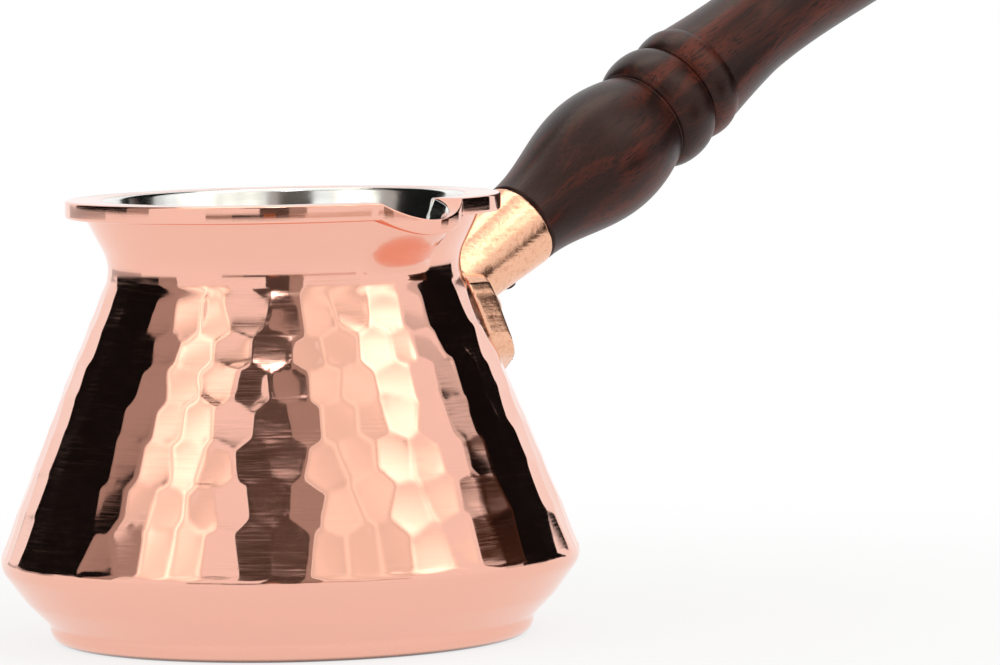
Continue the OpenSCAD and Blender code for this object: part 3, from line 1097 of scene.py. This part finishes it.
@dataclass
class Rivets:
    """Three copper rivets through the plate, the wall and the lining."""

    shape: PotShape
    finish: PolishedCopper = PolishedCopper(
        name="rivet_copper", colour="#F2B79C", roughness=0.12)
    places: tuple[Span, ...] = ((20.5, 52.6), (-20.5, 52.6), (0.0, 43.9))
    middle: float = 50.0
    shank: float = 1.6
    head: float = 3.0
    dome: float = 1.5
    inner_head: float = 1.0
    chamfer: float = 0.25
    outer_seat: float = 4.2
    around: int = 40

    def profile(self) -> np.ndarray:
        """Outline of one rivet, with its seat on the wall at height 0."""
        thick = self.shape.wall + self.shape.tin
        hollow = self.head**2 / (2 * (float(self.shape.wall_radius(self.middle)) - thick))
        seat = -(thick + hollow)
        end = seat - self.inner_head
        return np.array([
            (0, end), (self.head - self.chamfer, end), (self.head, end + self.chamfer),
            (self.head, seat), (self.shank, seat), (self.shank, self.outer_seat),
            *dome_arc(self.head, self.dome, self.outer_seat)])

    def build(self) -> Piece:
        """Makes the three rivets from one, set out on the wall along its normals."""
        one = grid_piece("one_rivet", turned_rings(self.profile(), self.around))
        points, normals = [], []
        for turn_deg, height in self.places:
            turn, rise = math.radians(turn_deg), self.shape.wall_rise(height)
            out = np.array([math.cos(turn), math.sin(turn), 0])
            up = np.array([0, 0, 1])
            points.append(out * float(self.shape.wall_radius(height)) + up * height)
            normals.append(out * math.cos(rise) + up * math.sin(rise))
        piece = mesh_piece("rivet_set", points)
        store(piece, "out", np.array(normals))
        graph = PieceTree("rivets_on_wall", {"Rivet": one, "Material": self.finish.build()})
        rivet = graph.add("GeometryNodeObjectInfo", inputs={"Object": graph.given["Rivet"]})
        turned = graph.add("FunctionNodeAlignRotationToVector", {"axis": "Z"},
                           {"Vector": graph.stored("out", "FLOAT_VECTOR")})
        placed = graph.add("GeometryNodeInstanceOnPoints", inputs={
            "Points": graph.given["Geometry"], "Instance": rivet.outputs["Geometry"],
            "Rotation": turned.outputs[0]})
        real = graph.add("GeometryNodeRealizeInstances",
                         inputs={"Geometry": placed.outputs[0]})
        graph.apply(piece, real.outputs[0])
        bpy.data.objects.remove(one)
        return shade_smooth(piece)


@dataclass
class SocketPin:
    """The nail that locks the handle in its socket."""

    axis: HandleAxis
    finish: DarkSteel = DarkSteel()
    from_mouth: float = 7.4
    seat: float = 7.72
    shank: float = 0.8
    length: float = 6.0
    head: float = 1.2
    dome: float = 0.4
    around: int = 32

    def build(self) -> Piece:
        """Makes the pin across the underside of the socket."""
        tip = self.seat - self.length
        path = [(0, tip), (self.shank, tip), (self.shank, self.seat),
                *dome_arc(self.head, self.dome, self.seat)]
        down = turned_rings(path, self.around)[..., [2, 1, 0]] * np.array([1, 1, -1])
        along = self.axis.socket_end - self.from_mouth
        piece = grid_piece("socket_nail", self.axis.place(down, along))
        return dressed(piece, self.finish.build())


# ---- Handle ----


@dataclass
class Handle:
    """The turned handle: tenon, bulb, bead, collar, waist and grip."""

    axis: HandleAxis
    finish: LacqueredWalnut = LacqueredWalnut()
    length: float = 139.8
    tenon: float = 5.5
    tenon_length: float = 19.7
    shoulder: float = 7.6
    bulb_at: float = 22.8
    bulb: float = 11.4
    groove_at: float = 34.1
    groove: float = 9.1
    bead_width: float = 8.7
    bead: float = 10.9
    collar_rise: float = 3.7
    collar: float = 10.5
    collar_fall: float = 2.3
    collar_dip: float = 0.55
    waist_length: float = 15.0
    waist: float = 8.45
    waist_power: float = 1.3
    grip_length: float = 46.0
    grip: float = 12.0
    end_power: float = 3.0
    long_steps: int = 32
    fall_steps: int = 24
    bead_steps: int = 40
    rise_steps: int = 20
    around: int = 160

    def profile(self) -> np.ndarray:
        """Radius and distance from the socket's mouth, from the tenon to the end."""
        crease = self.groove_at + self.bead_width
        collar_at = crease + self.collar_rise
        edge_at = collar_at + self.collar_fall
        waist_at = edge_at + self.waist_length
        grip_at = waist_at + self.grip_length
        edge = self.collar - self.collar_dip
        long = np.linspace(0, 1, self.long_steps + 1)
        swell = (1 - np.cos(math.pi * long)) / 2
        fall = np.linspace(0, 1, self.fall_steps + 1)
        bead = np.linspace(math.pi, 0, self.bead_steps + 1)[1:-1]
        rise = np.linspace(0, math.pi / 2, self.rise_steps + 1)
        close = 1 - (1 - np.linspace(0, 1, self.bead_steps)) ** 2
        stretches = (
            (self.shoulder, self.bulb, swell, 0, self.bulb_at, long),
            (self.bulb, self.groove, fall**2, self.bulb_at, self.groove_at, fall),
            (self.groove, self.bead, np.sin(bead), self.groove_at, crease,
             (1 + np.cos(bead)) / 2),
            (self.groove, self.collar, np.sin(rise), collar_at, crease, np.cos(rise)),
            (self.collar, edge, fall**2, collar_at, edge_at, fall),
            (self.waist, edge, (1 - long) ** self.waist_power, edge_at, waist_at, long),
            (self.waist, self.grip, swell, waist_at, grip_at, long),
            (0, self.grip, np.sqrt(1 - close**self.end_power), grip_at, self.length, close))
        points = [(0, -self.tenon_length), (self.tenon, -self.tenon_length), (self.tenon, 0)]
        for thin, thick, share, start, end, along in stretches:
            points.extend(zip(thin + (thick - thin) * share, start + (end - start) * along))
        apart = np.linalg.norm(np.diff(points, axis=0), axis=1) > MERGE_MM
        return np.array(points)[np.concatenate([[True], apart])]

    def build(self) -> Piece:
        """Makes the handle on its axis."""
        rings = self.axis.place(turned_rings(self.profile(), self.around),
                                self.axis.socket_end)
        return dressed(grid_piece("walnut_handle", rings), self.finish.build())


# ---- Studio ----


@dataclass(frozen=True)
class View:
    """Where the camera stands: distance and height in millimetres, angles in degrees."""

    azimuth: float = -40.0
    distance: float = 1073.7
    height: float = 123.1
    yaw: float = 1.914
    pitch: float = -3.877
    roll: float = -1.144
    lens: float = 231.1
    sensor: float = 36.0
    near: float = 50.0

    def build(self) -> None:
        """Makes the camera and sets it as the scene's."""
        camera = new_piece("camera", bpy.data.cameras.new("camera"))
        camera.data.lens = self.lens
        camera.data.sensor_width = self.sensor
        camera.data.clip_start = self.near * MM
        stand = Matrix.Translation((0, -self.distance * MM, self.height * MM))
        aim = rotation(-self.yaw, "Z") @ rotation(90 + self.pitch, "X")
        camera.matrix_world = (rotation(self.azimuth, "Z") @ stand @ aim
                               @ rotation(self.roll, "Z"))
        bpy.context.scene.camera = camera


class CardKind(Enum):
    """What a card does: a flag shows in reflections alone, a softbox also gives light."""

    FLAG = "flag"
    SOFTBOX = "softbox"


@dataclass(frozen=True)
class Card:
    """A card that stands around the pot, as a curved strip that glows.

    Turns are in degrees from the camera's side of the pot, positive to its right, and
    rises in degrees above the pot. A level of 1 is as bright as the white room. Tubes are
    the bright bands that show through a softbox's cloth.
    """

    name: str
    kind: CardKind
    turns: Span
    rises: Span
    level: float
    edge_level: float
    away: float = 700.0
    tint: str = "#FFFFFF"
    tubes: int = 0
    tube_share: float = 0.3
    edge_power: float = 0.7
    pieces: int = 32

    def build(self, view: View) -> Piece:
        """Makes the card.

        Args:
            view: The camera's stand, from whose side the turns count.

        Returns:
            The card.
        """
        row = self.pieces + 1
        share = np.linspace(0, 1, row)
        turns = np.radians(np.linspace(*self.turns, row) + view.azimuth - 90)
        rises = np.radians(np.linspace(*self.rises, row))
        corners = [(self.away * math.cos(turn), self.away * math.sin(turn),
                    self.away * math.tan(rise)) for rise in rises for turn in turns]
        faces = [(i, i + 1, i + 1 + row, i + row) for i in range(row * self.pieces)
                 if (i + 1) % row]
        card = mesh_piece(self.name, corners, faces)
        bulge = np.outer(np.sin(math.pi * share), np.sin(math.pi * share) ** self.edge_power)
        bands = 1 - self.tube_share * (1 + np.cos(2 * math.pi * self.tubes * share)) / 2
        inner = self.level * (bands if self.tubes else 1)
        store(card, "glow", (self.edge_level + (inner - self.edge_level) * bulge).ravel())
        material, graph = new_material(f"{self.name}_cloth")
        strength = graph.add("ShaderNodeAttribute", {"attribute_name": "glow"})
        graph.close("ShaderNodeOutputMaterial", graph.add("ShaderNodeEmission", inputs={
            "Color": srgb(self.tint), "Strength": strength.outputs["Fac"]}))
        dressed(card, material)
        hidden = ["camera", "transmission", "volume_scatter", "shadow"]
        if self.kind is CardKind.FLAG:
            hidden.append("diffuse")
        for ray in hidden:
            setattr(card, f"visible_{ray}", False)
        return card


FLAG = CardKind.FLAG
SOFTBOX = CardKind.SOFTBOX


@dataclass
class Studio:
    """A white table and room, four softboxes, and the flags that the metal mirrors."""

    view: View = View()
    room_light: float = 0.72
    room_white: str = "#FFFFFF"
    paper_white: str = "#F6F6F4"
    table_size: float = 6000.0
    shadow_reach: Span = (60.0, 260.0)
    shadow_white: float = 0.8
    cards: tuple[Card, ...] = (
        Card("left_softbox", SOFTBOX, (-72, -36), (16, 58), 2.1, 0.85, 900, "#FFFCF4", 3, 0.42),
        Card("front_softbox", SOFTBOX, (14, 50), (16, 58), 1.3, 0.85, 950, "#FFFCF4", 2, 0.25),
        Card("right_softbox", SOFTBOX, (50, 80), (27, 62), 2.9, 1.1, 900, "#FFFCF4", 2, 0.25),
        Card("high_softbox", SOFTBOX, (42, 60), (49, 86), 3.0, 2.8, 700, "#FFFCF0"),
        Card("far_ceiling", FLAG, (150, 260), (62, 86), 2.8, 2.6, tint="#FFFCF0"),
        Card("left_flag", FLAG, (-138, -88), (6, 62), 0.006, 0.006),
        Card("left_edge", FLAG, (-88, -73), (6, 62), 0.42, 0.36, tint="#FFF0EA"),
        Card("right_flag", FLAG, (101, 138), (0, 62), 0.006, 0.006),
        Card("right_edge", FLAG, (91, 101), (0, 62), 0.72, 0.72),
        Card("middle_flag", FLAG, (-12, 3), (6, 50), 0.08, 0.1, tint="#FFE8DC"),
        Card("middle_left", FLAG, (-22, -12), (26, 50), 0.07, 0.1, tint="#FFE8DC"),
        Card("middle_edge", FLAG, (3, 12), (6, 50), 0.42, 0.36, tint="#FFF0E8"),
        Card("low_far_left", FLAG, (-150, -105), (0, 6), 0.45, 0.6),
        Card("low_left", FLAG, (-40, -26), (0, 6), 0.42, 0.42, tint="#E8D8C8"),
        Card("low_dark", FLAG, (-26, -10), (0, 6), 0.05, 0.05, tint="#E8D0C8"),
        Card("low_amber", FLAG, (-10, -4), (0, 6), 0.3, 0.3, tint="#FFA060"),
        Card("low_brown", FLAG, (-4, 3), (0, 6), 0.08, 0.08, tint="#FFC8A8"),
        Card("low_middle", FLAG, (3, 11), (0, 6), 0.3, 0.3, tint="#FFD8C0"),
        Card("low_right", FLAG, (11, 46), (0, 6), 0.7, 0.7, tint="#FFE8DC"),
        Card("near_right", FLAG, (81, 98), (12, 27), 0.01, 0.08, 190, "#FFC0A0"),
        Card("dark_ceiling", FLAG, (-48, -21), (45, 49), 0.1, 0.1, tint="#FFE8DC"),
        Card("top_lamp", FLAG, (-13, 2), (51, 56), 14.0, 8.0, 650))

    def build(self) -> None:
        """Makes the camera, the room, the table and the cards."""
        self.view.build()
        self.room()
        self.table()
        for card in self.cards:
            card.build(self.view)
        bpy.context.scene.view_settings.view_transform = "Standard"

    @staticmethod
    def seen_white(graph: Graph) -> Socket:
        """1 for rays that should find plain white: seen straight, mirrored or through glass.

        Args:
            graph: The tree that asks.

        Returns:
            1 for such rays, and 0 for those that carry soft light.
        """
        rays = graph.add("ShaderNodeLightPath").outputs
        seen = graph.maths("MAXIMUM", rays["Is Camera Ray"], rays["Is Glossy Ray"])
        return graph.maths("MAXIMUM", seen, rays["Is Transmission Ray"])

    def room(self) -> None:
        """Makes the room: white to look at, and a soft even light."""
        world = bpy.data.worlds.new("white_room")
        bpy.context.scene.world = world
        world.use_nodes = True
        world.node_tree.nodes.clear()
        graph = Graph(world.node_tree)
        level = graph.remap(self.seen_white(graph), onto=(self.room_light, 1.0))
        graph.close("ShaderNodeOutputWorld", graph.add("ShaderNodeBackground", inputs={
            "Color": srgb(self.room_white), "Strength": level}))

    def table(self) -> None:
        """Makes the pale table, which keeps the pot's shadow."""
        half = self.table_size / 2
        table = mesh_piece("table", [(-half, -half, 0), (half, -half, 0), (half, half, 0),
                                     (-half, half, 0)], [(0, 1, 2, 3)])
        material, graph = new_material("matt_white_board")
        paper = graph.add("ShaderNodeBsdfDiffuse", inputs={"Color": srgb(self.paper_white)})
        glow = graph.add("ShaderNodeEmission", inputs={"Color": srgb(self.room_white)})
        place = graph.add("ShaderNodeTexCoord").outputs["Object"]
        reach = [end * MM for end in self.shadow_reach]
        sweep = graph.remap(graph.vector("LENGTH", place).outputs["Value"], reach,
                            (self.shadow_white, 1.0), Ease.SOFT)
        share = graph.maths("MULTIPLY", self.seen_white(graph), sweep)
        graph.close("ShaderNodeOutputMaterial", graph.add("ShaderNodeMixShader", inputs={
            0: share, 1: paper.outputs[0], 2: glow.outputs[0]}))
        dressed(table, material)


# ---- Assembly ----


def seat(piece: Piece, node: str, slot: str) -> None:
    """Makes a piece stand for its node, on the pot's one body.

    Args:
        piece: The finished piece.
        node: Name of the node that it replaces.
        slot: Name of the record's material slot. It is not used.
    """
    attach(piece, BODY)
    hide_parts(node)
    LOG.info("%s stands for %s: %d faces", piece.name, node, len(piece.data.polygons))


def main() -> None:
    """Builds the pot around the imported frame."""
    logging.basicConfig(level=logging.INFO, format="%(name)s: %(message)s")
    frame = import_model()
    Studio().build()
    shape = PotShape()
    axis = HandleAxis()
    seat(PotShell(shape, HammerMarks(shape)).build(), "pot_body", "copper_shell")
    seat(TinLining(shape).build(), "tin_lining", "tin_coat")
    seat(Bracket(shape, axis).build(frame["nodes"]["bracket"]), "bracket", "cast_copper")
    seat(Rivets(shape).build(), "rivets", "rivet_copper")
    seat(SocketPin(axis).build(), "socket_pin", "steel_pin")
    seat(Handle(axis).build(), "handle", "dark_wood")


if __name__ == "__main__":
    main()
